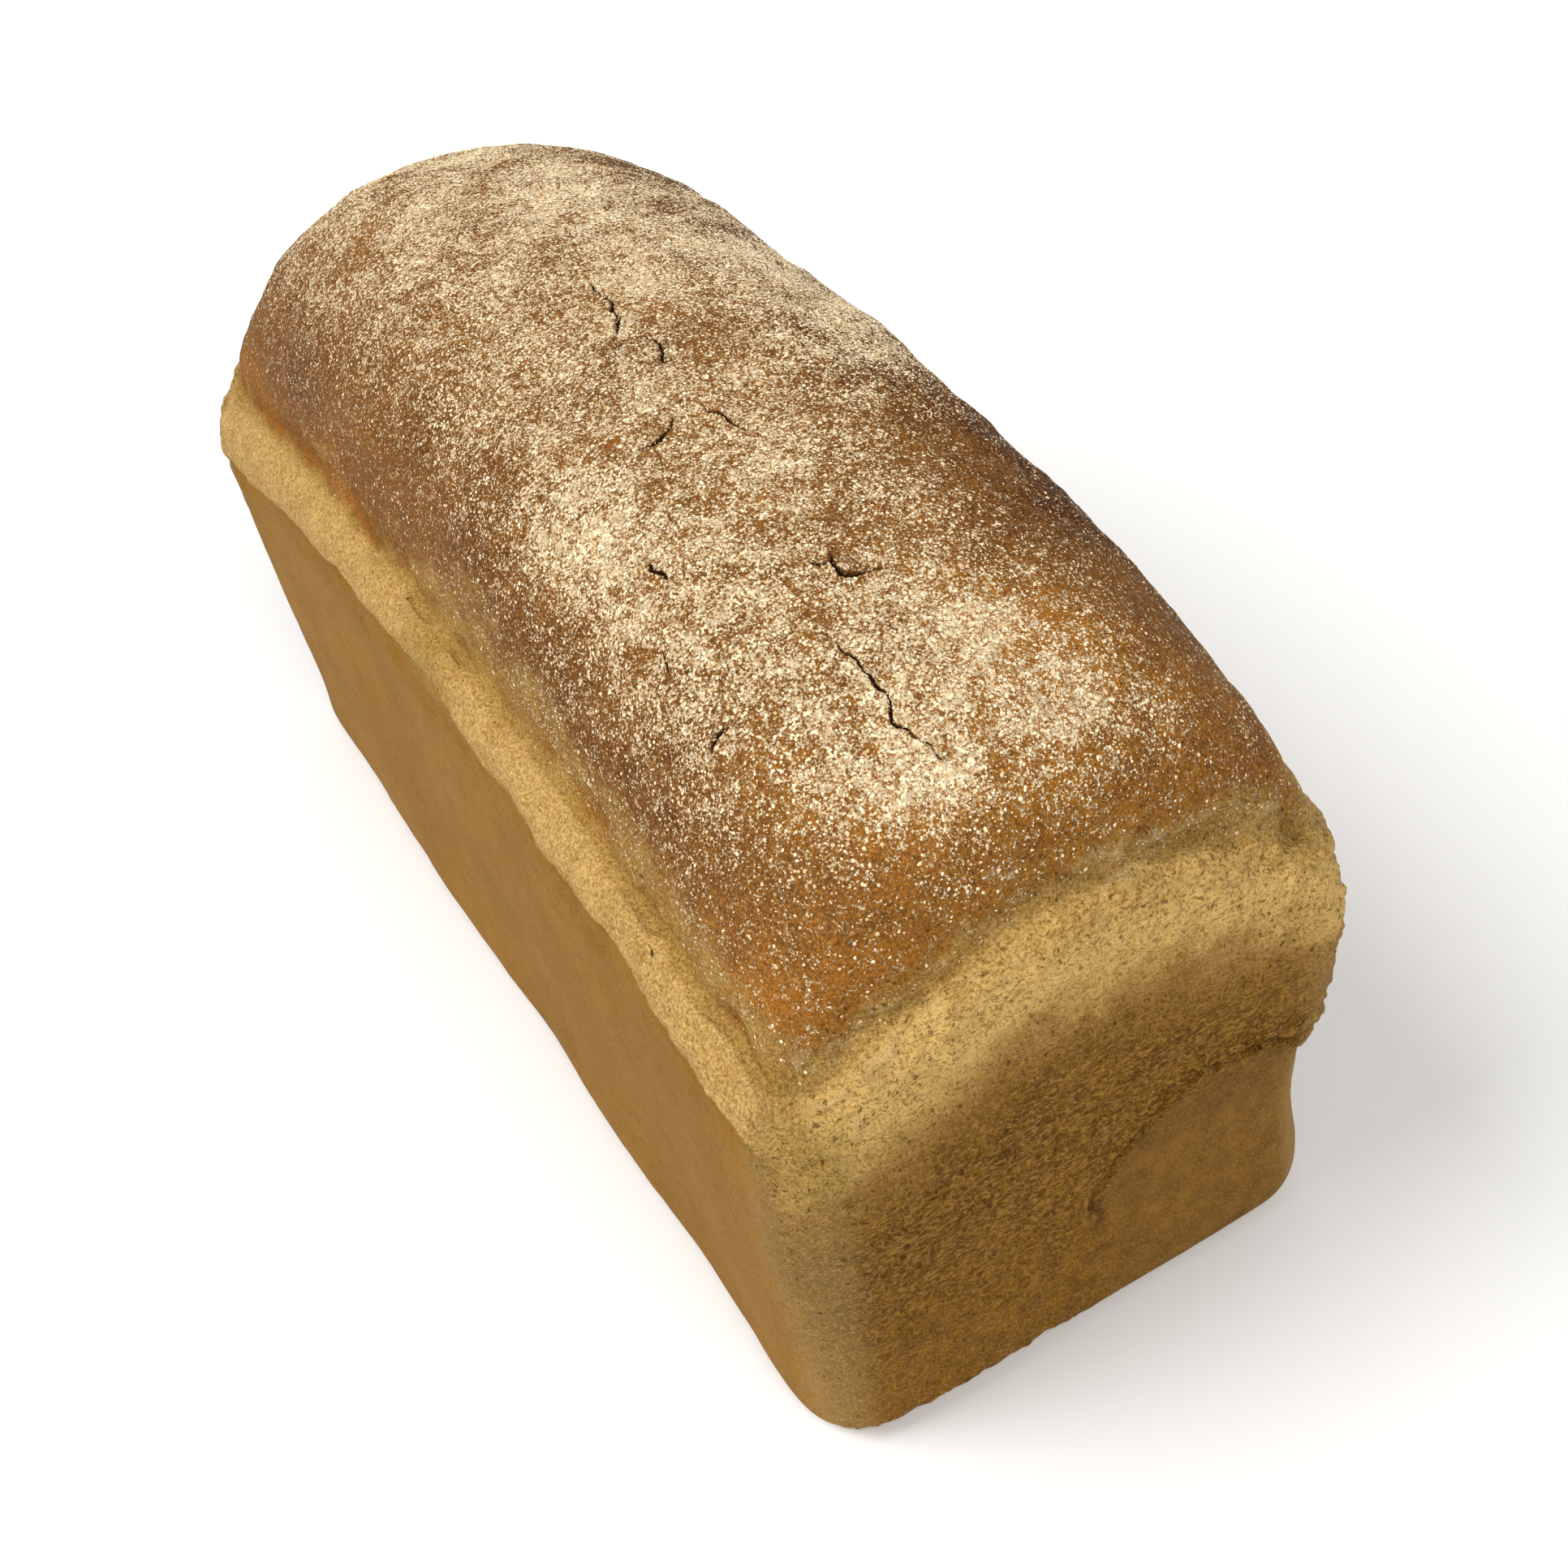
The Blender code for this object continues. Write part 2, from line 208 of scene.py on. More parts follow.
# How far the folds wander off their routes, in mm.
WRINKLE_WANDER = 1.1
CREASE_WANDER = 1.3
CRACK_WANDER = 0.55

# The lip along the rim and the trough behind it: height, distance in from the crest and
# width, in mm.
RIM_LIP = (0.85, 0.3, 0.8)
RIM_TROUGH = (-1.00, 2.2, 0.9)

# The belt of rolled dough along the long sides, in mm: how far it reaches down, how much
# farther at the far end, how proud it stands and how deep the groove under it is.
BELT_WIDTH = 6.8
BELT_WIDENING = 4.0
BELT_HEIGHT = 1.00
UNDER_BELT_DEPTH = 0.50

# Bumps of the crust: height in mm, where they lie, the distance between them in mm,
# their stretch along each axis, and the shift that sets their noise apart.
Bump = namedtuple("Bump", "height where span stretch shift")
EVEN = (1.0, 1.0, 1.0)
BUMPS = (
    Bump(0.30, "all_over", 9.0, EVEN, 0.0),
    Bump(0.16, "soft_skin", 3.2, EVEN, 5.0),
    Bump(0.30, "roll", 5.5, EVEN, 9.0),
    Bump(0.22, "torn_end", 1.0, (1.8, 4.6, 1.8), 3.0),
    Bump(0.24, "torn_end", 1.0, (1.3, 2.8, 1.3), 4.0),
    Bump(0.15, "fine_grain", 1.15, EVEN, 8.0),
)

# Open pores seen on the near end and on the roll, and others like them.
PORES_SEEN = (
    (124.1, 12.4, 77.5), (123.1, 1.0, 71.0), (122.9, 25.6, 60.3), (123.7, 26.3, 68.3),
    (120.0, -29.0, 99.6), (124.4, -25.0, 79.4), (124.8, -24.9, 87.9), (123.0, 36.3, 92.5),
    (124.3, 20.5, 96.0),
)
PORES_ADDED = 110
PORE_RADIUS = (0.5, 1.1)
PORE_DEPTH = (0.25, 0.6)

# The stripe of flour at stations along the loaf, x in mm: how much of the crust it covers
# at most, its middle's y, and its reach to the left and to the right in mm.
FLOUR_PEAK = ((-126, -105, -60, -10, 10, 31, 52, 73, 94, 108, 120),
              (0.0, 0.42, 0.60, 0.48, 0.40, 0.40, 0.50, 0.41, 0.55, 0.58, 0.34))
FLOUR_MIDDLE = ((-60, -10, 10, 31, 52, 94), (7, 15, 14, 0, -11, -2))
FLOUR_LEFT = ((-60, -10, 10, 31, 52, 88, 106), (37, 45, 58, 62, 54, 42, 31))
FLOUR_RIGHT = ((-60, -10, 10, 31, 52, 94), (17, 57, 56, 38, 21, 23))

# Where the flour lies thicker: x and y, reach along and across in mm, and how much more.
FLOUR_DRIFTS = ((5.0, 31.0, 28.0, 9.0, 0.40), (28.0, -34.0, 25.0, 10.0, 0.28))

# Flour that stands on the crust, radii in mm.
GRAINS = 49000
GRAIN_RADIUS = (0.13, 0.25)
FLAKES = 19000
FLAKE_RADIUS = (0.16, 0.33)

# Patterns in the crust's colours: distance between marks in mm, then the noise's detail
# and roughness. The flour's real lace is about 0.2 mm, too fine to show, so it is drawn
# at about 0.5 mm. The fibres of the ends run along Y, so they are stretched that way.
CRUST_PATTERNS = (
    ("slow", 26.0, 3.0, 0.55), ("blotch", 4.5, 4.0, 0.55), ("grain", 0.8, 3.0, 0.65),
    ("fine", 0.5, 3.0, 0.70), ("lace", 0.47, 2.0, 0.70), ("clumps", 1.7, 1.0, 0.55),
    ("fibre", 0.60, 3.0, 0.75),
)
FIBRE_STRETCH = (1.0, 0.42, 1.0)
BRAN_SPACING = 0.9 * MM
PIT_SPACING = 1.5 * MM
TOAST_SPACING = 1.1 * MM


def select_only(piece):
    """Select this piece and nothing else, as the operators need."""
    bpy.ops.object.select_all(action="DESELECT")
    piece.select_set(True)
    bpy.context.view_layer.objects.active = piece


def apply_modifier(piece, name, kind, **settings):
    """Add a modifier and apply it at once."""
    modifier = piece.modifiers.new(name, kind)
    for key, value in settings.items():
        setattr(modifier, key, value)
    select_only(piece)
    bpy.ops.object.modifier_apply(modifier=name)


def copy_of_solid(name):
    """A separate mesh with the solid's form, its triangles merged into quads."""
    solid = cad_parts[LOAF_NODE]
    piece = bpy.data.objects.new(name, solid.data.copy())
    bpy.context.scene.collection.objects.link(piece)
    piece.data.materials.clear()
    select_only(piece)
    bpy.ops.object.mode_set(mode="EDIT")
    bpy.ops.mesh.select_all(action="SELECT")
    bpy.ops.mesh.remove_doubles(threshold=0.01 * MM)
    bpy.ops.mesh.tris_convert_to_quads()
    bpy.ops.object.mode_set(mode="OBJECT")
    return piece


def to_metres(route):
    """A place or a route in mm, as an array in metres."""
    return np.array(route, float) * MM


def distance_to_route(points, route):
    """Distance of each point to a route, and its share of the way along."""
    nearest = np.full(len(points), np.inf)
    along = np.zeros(len(points))
    lengths = np.linalg.norm(np.diff(route, axis=0), axis=1)
    total = lengths.sum()
    passed = 0.0
    for start, end, length in zip(route[:-1], route[1:], lengths):
        span = end - start
        share = np.clip((points - start) @ span / (span @ span), 0.0, 1.0)
        gap = np.linalg.norm(points - start - share[:, None] * span, axis=1)
        closer = gap < nearest
        nearest[closer] = gap[closer]
        along[closer] = (passed + share[closer] * length) / total
        passed += length
    return nearest, along


def vertex_arrays(mesh):
    """Places and normals of a bmesh's vertices."""
    mesh.normal_update()
    places = np.array([vert.co for vert in mesh.verts])
    normals = np.array([vert.normal for vert in mesh.verts])
    return places, normals


def split_faces(mesh, rule):
    """Cut into four each face whose centre the rule picks."""
    faces = list(mesh.faces)
    centres = np.array([face.calc_center_median() for face in faces])
    edges = {edge for index in np.flatnonzero(rule(centres)) for edge in faces[index].edges}
    bmesh.ops.subdivide_edges(mesh, edges=list(edges), cuts=1, use_grid_fill=True)


def route_on_surface(fold, places, normals):
    """A fold's route in metres, its points moved straight in or out to the surface."""
    route = to_metres(fold.route)
    for index, point in enumerate(route):
        nearest = np.argmin(np.linalg.norm(places - point, axis=1))
        normal = normals[nearest]
        route[index] = point - normal * ((point - places[nearest]) @ normal)
    return route


def rim_and_near_part(points):
    """The rim all round, the near part of the dome and the walls of the near end."""
    rise = rise_over_rim(points)
    rim_band = (inward_of_rim(points) < 6.0 * MM) & (rise > -17.0 * MM) & (rise < 8.0 * MM)
    near_dome = (points[:, 0] > 15.0 * MM) & (rise > 0.0)
    near_walls = (points[:, 0] > 95.0 * MM) & (points[:, 2] > 1.0 * MM)
    return rim_band | near_dome | near_walls


def near_end_and_left_rim(points):
    """The torn near end above its smooth panel, and the left rim's lip and belt edge."""
    near_end = (points[:, 0] > 113.0 * MM) & (points[:, 2] > 24.0 * MM)
    near_end &= panel_share(points, PANEL_EDGE_IN_MESH) < 0.5
    rise = rise_over_rim(points)
    left_rim = (inward_of_rim(points) < 4.5 * MM) & (np.abs(rise - 0.5 * MM) < 4.0 * MM)
    left_rim |= np.abs(rise + belt_width(points)) < 1.6 * MM
    left_rim &= (points[:, 1] < -20.0 * MM) & (points[:, 0] > -40.0 * MM)
    return near_end | left_rim


def crease_on_panel(points):
    """Where the dough hangs over the smooth panel."""
    gaps = [distance_to_route(points, to_metres(fold.route))[0] for fold in CREASE[:2]]
    close = np.min(gaps, axis=0) < CREASE_CELL_REACH
    return close & (panel_share(points, PANEL_EDGE_IN_MESH) >= 0.5)


def refine(mesh):
    """Finer cells where the photograph shows the finest relief."""
    for rule in (rim_and_near_part, near_end_and_left_rim, crease_on_panel):
        split_faces(mesh, rule)
    routes = [route_on_surface(fold, *vertex_arrays(mesh)) for fold in CRACKS]
    for reach in CRACK_CELL_REACHES:
        split_faces(mesh, lambda centres: np.min(
            [distance_to_route(centres, route)[0] for route in routes], axis=0) < reach)


def fold_relief(places, normals, folds, wander):
    """Height that the folds add, how deep in a groove each point lies, and how far up
    a ridge."""
    relief = np.zeros(len(places))
    groove = np.zeros(len(places))
    ridge = np.zeros(len(places))
    jitter = np.stack([noise_at(places, 3.0 * MM, shift) for shift in (11.0, 23.0, 37.0)], axis=1)
    jitter -= normals * np.sum(jitter * normals, axis=1)[:, None]
    wandered = places + jitter * wander * MM
    for fold in folds:
        gap, along = distance_to_route(wandered, route_on_surface(fold, places, normals))
        taper = np.sin(np.pi * np.clip(along, 0.04, 0.96)) ** 0.35
        across = np.clip(gap / (fold.reach * MM), 0.0, 1.0)
        profile = taper * (1.0 - smooth_step(across))
        relief += fold.height * MM * profile
        if fold.lip > 0.0:
            edge = np.exp(-((gap / MM - 1.5 * fold.reach) / (0.7 * fold.reach)) ** 2)
            relief += fold.lip * MM * taper * edge
            wide = np.clip(gap / (1.5 * fold.reach * MM), 0.0, 1.0)
            groove = np.maximum(groove, taper * (1.0 - wide))
        elif fold.height > 0.0:
            ridge = np.maximum(ridge, profile)
    return relief, groove, ridge


def pore_places(generator, places):
    """Pores seen in the photograph, and more on the dough that rose out of the tin."""
    rise = rise_over_rim(places)
    dough = (rise < 0.0) & (rise > -55.0 * MM) & (np.abs(places[:, 0]) > 112.0 * MM)
    spots = generator.choice(np.flatnonzero(dough), PORES_ADDED, replace=False)
    return np.concatenate([to_metres(PORES_SEEN), places[spots]])


def surface_bumps(places):
    """The crust's swells and grain, and the short torn fibres of the ends."""
    rise = rise_over_rim(places)
    on_dome = smooth_step(rise / (6.0 * MM))
    on_roll = smooth_step((rise + 26.0 * MM) / (10.0 * MM)) * (1.0 - on_dome)
    on_end = smooth_step((np.abs(places[:, 0]) - 113.0 * MM) / (5.0 * MM)) * (1.0 - on_dome)
    torn = on_end * (1.0 - panel_share(places, PANEL_EDGE_IN_MESH))
    where = {"all_over": 0.3 + 0.7 * on_dome,
             "soft_skin": 0.25 + 0.75 * np.maximum(on_dome, on_roll),
             "roll": on_roll,
             "torn_end": torn,
             "fine_grain": np.maximum(torn, 0.8 * on_roll)}
    relief = np.zeros(len(places))
    for bump in BUMPS:
        pattern = noise_at(places, bump.span * MM, bump.shift, bump.stretch)
        relief += bump.height * MM * pattern * where[bump.where]
    return relief


def rim_relief(places, inward):
    """The lip along the rim and the trough behind it, and how deep in the trough each
    point lies. Both fade out at the near left corner."""
    corner_gap = np.linalg.norm(places - to_metres((119.0, -45.5, 90.0)), axis=1)
    strength = 0.75 + 0.5 * noise_at(places, 12.0 * MM, 19.0)
    strength *= 1.0 - 0.8 * np.exp(-(corner_gap / (9.0 * MM)) ** 2)
    strength *= 1.0 - 0.55 * smooth_step((places[:, 0] - 112.0 * MM) / (5.0 * MM))
    strength *= np.abs(rise_over_rim(places)) < 9.0 * MM
    lip, trough = (np.exp(-((inward / MM - middle) / width) ** 2)
                   for _, middle, width in (RIM_LIP, RIM_TROUGH))
    relief = strength * MM * (RIM_LIP[0] * lip + RIM_TROUGH[0] * trough)
    return relief, trough * (strength > 0.0)


def belt_relief(places, inward):
    """The belt of rolled dough along the long sides, and the groove under it."""
    on_side = smooth_step((119.0 * MM - np.abs(places[:, 0])) / (8.0 * MM))
    wander = 1.2 * noise_at(places, 14.0 * MM, 71.0, stretch=(2.0, 1.0, 1.0))
    drop = -rise_over_rim(places) / MM + wander
    width = belt_width(places) / MM
    belt = smooth_step(drop / 3.0) * (1.0 - smooth_step((drop - width + 0.6) / 1.4))
    under = np.exp(-((drop - width - 1.4) / 1.3) ** 2)
    relief = on_side * MM * (BELT_HEIGHT * belt - UNDER_BELT_DEPTH * under)
    return relief * (inward < 2.0 * MM)


def pore_relief(places, generator):
    """The open pores, and how far inside one each point lies."""
    relief = np.zeros(len(places))
    pored = np.zeros(len(places))
    for pore in pore_places(generator, places):
        radius = generator.uniform(*PORE_RADIUS) * MM
        depth = generator.uniform(*PORE_DEPTH) * MM
        hollow = 1.0 - smooth_step(np.linalg.norm(places - pore, axis=1) / radius)
        relief -= depth * hollow
        pored = np.maximum(pored, hollow)
    return relief, pored


def work_in_relief(mesh, generator):
    """Move the vertices to the crust's bumps, folds, cracks and pores."""
    places, normals = vertex_arrays(mesh)
    inward = inward_of_rim(places) + 0.9 * MM * noise_at(places, 10.0 * MM, 15.0)
    rim, trough = rim_relief(places, inward)
    wrinkles, _, ridge = fold_relief(places, normals, WRINKLES, WRINKLE_WANDER)
    crease, crease_groove, _ = fold_relief(places, normals, CREASE, CREASE_WANDER)
    cracks, crack_groove, _ = fold_relief(places, normals, CRACKS, CRACK_WANDER)
    pores, pored = pore_relief(places, generator)
    relief = surface_bumps(places) + rim + belt_relief(places, inward)
    relief += wrinkles + crease + cracks + pores

    off_base = smooth_step(places[:, 2] / (4.0 * MM))
    moved = places + normals * (relief * off_base)[:, None]
    moved[places[:, 2] < BASE_FLAT, 2] = 0.0
    for vert, place in zip(mesh.verts, moved):
        vert.co = place
    # groove and crease mark the cracks, pores, panel crease and rim trough, which the crust's colour
    # darkens as painted shade.
    return {"groove": np.maximum(crack_groove, 0.50 * pored),
            "crease": np.maximum(crease_groove, 0.30 * trough), "ridge": ridge}


def panel_share(places, softness):
    """The smooth panel low on the near end: 0 outside and 1 inside."""
    sideways = np.abs(places[:, 1] - 29.0 * MM) / (28.0 * MM)
    upwards = np.clip(places[:, 2] - 18.0 * MM, 0.0, None) / (36.0 * MM)
    reach = (sideways ** 4 + upwards ** 4) ** 0.25
    return (1.0 - smooth_step((reach - 1.0 + softness) / softness)) * (places[:, 0] > 100.0 * MM)


def flour_share(places):
    """How much of the crust the flour covers: a dense stripe along the far half that
    spreads and thins towards the near end."""
    x = places[:, 0] / MM
    y = places[:, 1] / MM
    rise = rise_over_rim(places) / MM
    middle = np.interp(x, *FLOUR_MIDDLE)
    reach = np.where(y < middle, np.interp(x, *FLOUR_LEFT), np.interp(x, *FLOUR_RIGHT))
    bell = 1.0 / (1.0 + np.abs((y - middle) / reach) ** 3.0)
    bell *= 1.0 - 0.95 * smooth_step((y - 26.0) / 9.0) * smooth_step((x - 45.0) / 25.0)
    bell *= 1.0 - 0.45 * smooth_step((-y - 20.0) / 12.0) * smooth_step((x - 88.0) / 14.0)
    for at_x, at_y, along, across, more in FLOUR_DRIFTS:
        bell += more * np.exp(-((x - at_x) / along) ** 2 - ((y - at_y) / across) ** 2)
    inward = inward_of_rim(places) / MM
    clear_of_rim = smooth_step((rise - 1.5) / 9.0) * (0.25 + 0.75 * smooth_step((inward - 3.0) / 13.0))
    patches = 1.0 + 0.28 * noise_at(places, 13.0 * MM, 31.0) + 0.34 * noise_at(places, 4.5 * MM, 41.0)
    sprinkled = 0.06 * smooth_step((x - 10.0) / 40.0) * smooth_step(rise / 4.0)
    stripe = np.interp(x, *FLOUR_PEAK) * bell * clear_of_rim * patches
    return np.clip(np.maximum(stripe, sprinkled), 0.0, 1.0)


def end_share(places):
    """How far each point belongs to an end and not to a long side."""
    return smooth_step((np.abs(places[:, 0]) / MM - 113.0) / 8.0)


def brown_share(places, wander):
    """The brown crust: all of the dome, from a wandering edge behind the rim."""
    x, y, _ = (places / MM).T
    rise = rise_over_rim(places) / MM
    inward = inward_of_rim(places) / MM
    bare_shoulder = 5.0 * smooth_step((y - 12.0) / 25.0) * smooth_step((x - 100.0) / 12.0)
    fade = 5.0 - 2.8 * smooth_step((10.0 - x) / 40.0)
    at_side = smooth_step((inward - 1.2 + 0.35 * wander) / fade)
    at_end = smooth_step((rise - 1.5 - bare_shoulder + wander) / 8.0)
    brown = mix(at_side, at_end, end_share(places))
    return brown * smooth_step((rise + 2.0) / 3.0)


def deep_share(places):
    """How dark the brown is: most down the right side, least at the near end and low."""
    x, y, _ = (places / MM).T
    rise = rise_over_rim(places) / MM
    deep = 0.42 + 0.45 * smooth_step((y - 5.0) / 35.0) + 0.14 * smooth_step((-y - 15.0) / 25.0)
    deep -= (0.22 + 0.34 * smooth_step(y / 30.0)) * smooth_step((x - 62.0) / 45.0)
    deep -= 0.35 * (1.0 - smooth_step((rise - 2.0) / 16.0))
    return deep + 0.12 * noise_at(places, 17.0 * MM, 61.0) + 0.09 * noise_at(places, 5.0 * MM, 67.0)


def tin_share(places, wander):
    """Where the tin held the dough: below the belt on the long sides, and more and more
    down the ends, where this darkening is partly tin-baked crust and partly painted shade."""
    rise = rise_over_rim(places) / MM
    at_side = 1.0 - smooth_step((rise + belt_width(places) / MM + 1.5 + 0.4 * wander) / 3.0)
    # Down the ends the share grows over 32 mm: partly tin-baked crust, partly painted shade on the
    # lower end face.
    at_end = np.clip((-5.0 - rise - 1.2 * wander) / 32.0, 0.0, 1.0)
    return mix(at_side, at_end, end_share(places))


def olive_share(places, wander):
    """The olive tint: in the valley behind the rim, at the near left corner, and on a
    tanned stretch halfway along the left rim."""
    x, y, z = (places / MM).T
    rise = rise_over_rim(places) / MM
    inward = inward_of_rim(places) / MM
    valley = smooth_step(inward - 0.5 + 0.15 * wander) * smooth_step((rise + 3.0) / 2.0)
    valley *= 1.0 - 0.6 * end_share(places)
    corner = np.exp(-(((x - 122.0) / 9.0) ** 2 + ((y + 46.0) / 7.0) ** 2 + ((z - 80.0) / 11.0) ** 2))
    tanned = 0.8 * np.exp(-((x - 2.0) / 12.0) ** 2) * (y < 0.0) * smooth_step((rise + 12.0) / 3.0)
    return np.maximum(np.maximum(valley, tanned), corner)


def store_regions(piece, worked):
    """Keep at each vertex where the crust is brown, floured, pale, smooth or cracked, and where its
    colour carries painted light and shade.
    """
    data = piece.data
    count = len(data.vertices)
    places = np.empty(count * 3)
    data.vertices.foreach_get("co", places)
    places = places.reshape(count, 3)
    x, y, z = (places / MM).T
    rise = rise_over_rim(places) / MM
    at_end = end_share(places)
    wander = 1.8 * noise_at(places, 8.0 * MM, 53.0) + 1.0 * noise_at(places, 2.5 * MM, 57.0)
    fibrous = smooth_step((np.abs(x) - 110.0) / 7.0)
    fibrous *= 1.0 - panel_share(places, PANEL_EDGE_IN_FIBRES)
    off_cracks = 1.0 - smooth_step((worked["groove"] - 0.35) / 0.25)
    regions = {
        "brown": brown_share(places, wander),
        "deep": deep_share(places),
        "tin": tin_share(places, wander),
        "at_end": at_end,
        "panel": panel_share(places, PANEL_EDGE_IN_COLOUR),
        "rough": fibrous * (0.35 + 0.65 * smooth_step((z - 12.0) / 40.0)),
        "pale_edge": smooth_step((np.abs(x) - 108.0) / 8.0) * smooth_step((np.abs(y) - 38.0) / 9.0),
        # The top of the rolled dough on the ends: partly paler dough, partly painted light where it
        # faces up to the lamps.
        "pale_lit_roll_top": at_end * np.exp(-((rise + 8.0 + 1.2 * wander) / 10.0) ** 2),
        "olive": olive_share(places, wander),
        "flour": flour_share(places) * off_cracks,
        **worked}
    for name in STORED:
        attribute = data.attributes.new(name, "FLOAT", "POINT")
        values = np.clip(regions[name], 0.0, 1.0)
        attribute.data.foreach_set("value", values.astype(np.float32))
    return regions["flour"]


def dissolve_base(mesh):
    """Join the faces of the flat base into one."""
    base = [face for face in mesh.faces if all(vert.co.z < 1e-6 for vert in face.verts)]
    bmesh.ops.dissolve_faces(mesh, faces=base, use_verts=True)


def keep_off_cracks(piece):
    """Let the skin bridge the solid's broad cracks, which are cut again, finer, later."""
    places = np.array([vert.co for vert in piece.data.vertices])
    near = np.zeros(len(places), bool)
    for fold in CRACKS:
        near |= distance_to_route(places, to_metres(fold.route))[0] < CRACK_BRIDGE
    group = piece.vertex_groups.new(name="on_form")
    group.add(np.flatnonzero(~near).tolist(), 1.0, "REPLACE")


def make_loaf(generator):
    """The crust's mesh, and the share of flour at each of its vertices."""
    form = copy_of_solid("loaf_form")
    apply_modifier(form, "Rounding", "SUBSURF", levels=2, render_levels=2)
    piece = form.copy()
    piece.data = form.data.copy()
    piece.name = "rye_loaf"
    bpy.context.scene.collection.objects.link(piece)
    apply_modifier(piece, "Even_cells", "REMESH", mode="VOXEL", voxel_size=VOXEL)
    mesh = bmesh.new()
    mesh.from_mesh(piece.data)
    refine(mesh)
    mesh.to_mesh(piece.data)
    mesh.free()
    keep_off_cracks(piece)
    apply_modifier(piece, "Onto_form", "SHRINKWRAP", target=form, vertex_group="on_form")
    apply_modifier(piece, "Smoothing", "SMOOTH", factor=0.5, iterations=SMOOTH_STEPS)
    bpy.data.objects.remove(form)

    mesh = bmesh.new()
    mesh.from_mesh(piece.data)
    worked = work_in_relief(mesh, generator)
    layers = {name: mesh.verts.layers.float.new(name + "_kept") for name in worked}
    for name, layer in layers.items():
        for vert, value in zip(mesh.verts, worked[name]):
            vert[layer] = value
    dissolve_base(mesh)
    bmesh.ops.triangulate(mesh, faces=mesh.faces[:])
    for name in worked:
        layer = mesh.verts.layers.float[name + "_kept"]
        worked[name] = np.array([vert[layer] for vert in mesh.verts])
        mesh.verts.layers.float.remove(layer)
    mesh.to_mesh(piece.data)
    mesh.free()
    piece.data.shade_smooth()
    return piece, store_regions(piece, worked)


def scatter(piece, share, amount, generator):
    """Random places on the piece's faces, as often as share says, with their normals."""
    data = piece.data
    triangles = np.array([face.vertices for face in data.polygons])
    corners = np.array([vert.co for vert in data.vertices])[triangles]
    normals = np.array([face.normal for face in data.polygons])
    areas = np.array([face.area for face in data.polygons])
    weight = areas * share[triangles].mean(axis=1)
    chosen = generator.choice(len(triangles), amount, p=weight / weight.sum())
    a, b = generator.random((2, amount))
    flip = a + b > 1.0
    a[flip], b[flip] = 1.0 - a[flip], 1.0 - b[flip]
    first, second, third = (corners[chosen, corner] for corner in range(3))
    places = first + a[:, None] * (second - first) + b[:, None] * (third - first)
    return places, normals[chosen]


def grain_mesh(name, places, normals, radii, rise, sides, generator):
    """Flat ragged grains, one for each place, joined in one mesh."""
    amount = len(places)
    helper = np.where(np.abs(normals[:, 2:]) < 0.9, (0.0, 0.0, 1.0), (1.0, 0.0, 0.0))
    side = np.cross(normals, helper)
    side /= np.linalg.norm(side, axis=1)[:, None]
    front = np.cross(normals, side)
    turn = generator.uniform(0.0, 2.0 * math.pi, amount)
    ring = []
    for index in range(sides):
        angle = turn + 2.0 * math.pi * index / sides
        reach = radii * generator.uniform(0.6, 1.3, amount)
        outward = np.cos(angle)[:, None] * side + np.sin(angle)[:, None] * front
        lift = rise * generator.uniform(-0.1, 0.5, amount)
        ring.append(places + outward * reach[:, None] + normals * lift[:, None])
    top = places + normals * (rise * generator.uniform(0.8, 1.4, amount))[:, None]
    corners = ring + [top]
    faces = [(index, (index + 1) % sides, sides) for index in range(sides)]
    if sides == 3:
        faces.append((2, 1, 0))
    else:
        corners.append(places - normals * (rise * 0.4)[:, None])
        faces += [((index + 1) % sides, index, sides + 1) for index in range(sides)]
    vertices = np.stack(corners, axis=1).reshape(-1, 3)
    starts = np.arange(amount)[:, None, None] * len(corners)
    triangles = (np.array(faces)[None] + starts).reshape(-1, 3)
    data = bpy.data.meshes.new(name)
    data.from_pydata(vertices.tolist(), [], triangles.tolist())
    piece = bpy.data.objects.new(name, data)
    bpy.context.scene.collection.objects.link(piece)
    return piece


def make_flour(loaf, flour, generator):
    """Fine grains and coarser flakes of flour that stand on the crust."""
    places, normals = scatter(loaf, flour ** 1.2, GRAINS, generator)
    radii = generator.uniform(*GRAIN_RADIUS, GRAINS) * MM
    grains = grain_mesh("flour_grains", places, normals, radii, 0.55 * radii, 3, generator)
    places, normals = scatter(loaf, flour ** 1.6, FLAKES, generator)
    radii = generator.uniform(*FLAKE_RADIUS, FLAKES) * MM
    flakes = grain_mesh("flour_flakes", places, normals, radii, 0.35 * radii, 5, generator)
    return grains, flakes


def add_node(material, kind, inputs=None, output=0, **settings):
    """Add a shader node and give back one of its outputs. Each input is a number, a
    hex colour or another node's output."""
    tree = material.node_tree
    node = tree.nodes.new(kind)
    for name, value in settings.items():
        setattr(node, name, value)
    for name, value in (inputs or {}).items():
        if isinstance(value, bpy.types.NodeSocket):
            tree.links.new(value, node.inputs[name])
        else:
            node.inputs[name].default_value = linear(value) if isinstance(value, str) else value
    return node.outputs[output] if node.outputs else None


def new_material(name):
    """A material with an empty node tree."""
    material = bpy.data.materials.new(name)
    material.use_nodes = True
    material.node_tree.nodes.clear()
    return material


def lay_colours(material, base, layers):
    """Lay colours over a base colour. Each layer has the pattern it follows, the values
    where it starts and is full, its greatest share, the region it keeps to and its colour."""
    for pattern, start, full, most, region, colour in layers:
        share = add_node(material, "ShaderNodeMapRange",
                         {"Value": pattern, "From Min": start, "From Max": full, "To Max": most},
                         interpolation_type="SMOOTHSTEP")
        if region:
            share = add_node(material, "ShaderNodeMath", {0: share, 1: region},
                             operation="MULTIPLY")
        base = add_node(material, "ShaderNodeMix", {0: share, 6: base, 7: colour}, 2,
                        data_type="RGBA")
    return base


